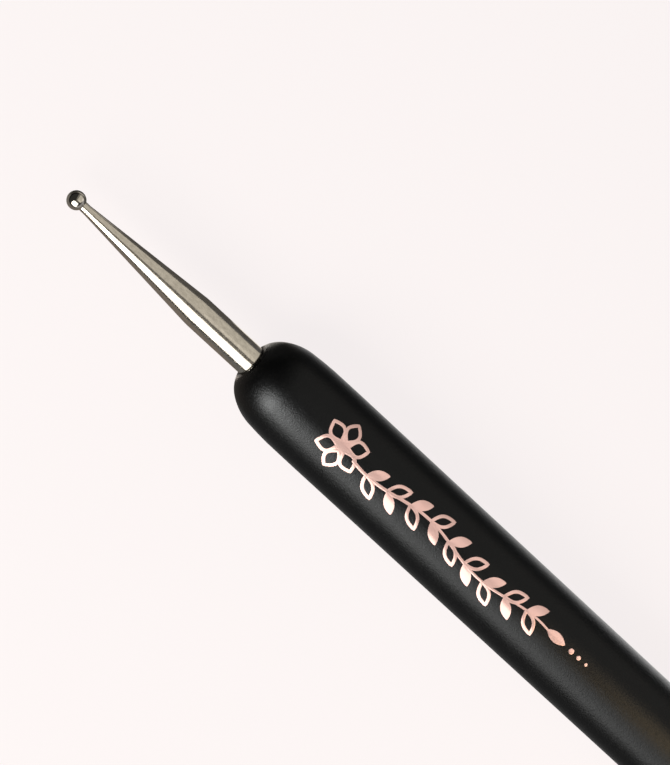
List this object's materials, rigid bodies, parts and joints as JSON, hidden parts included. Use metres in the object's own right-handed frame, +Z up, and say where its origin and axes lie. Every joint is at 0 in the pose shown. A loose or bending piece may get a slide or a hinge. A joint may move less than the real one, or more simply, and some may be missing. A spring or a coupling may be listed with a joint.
{
  "type": "embossing stylus",
  "caption": "Slim double-ended ball stylus: matt black handle with rounded noses and a tapered bright steel shank with a polished ball tip at each end.",
  "frame": {"origin": "on the surface that the barrel lies on, midway between the outer ends of the two balls", "axes": "+X along the tool, with the small ball (the pictured end) toward -X and the large ball toward +X; +Z up, away from the surface; the tool's own axis is 4 mm above the surface"},
  "size_m": [0.135, 0.008, 0.008],
  "materials": {
    "handle_coat": "matte",
    "shank_plating": "satin",
    "ball_steel": "polished",
    "cured_glue": "satin"
  },
  "bodies": {
    "root": {"handle": "handle_coat", "front_shank": "shank_plating", "front_ball": "ball_steel", "front_adhesive": "cured_glue", "rear_shank": "shank_plating", "rear_ball": "ball_steel", "rear_adhesive": "cured_glue"}
  },
  "joints": []
}
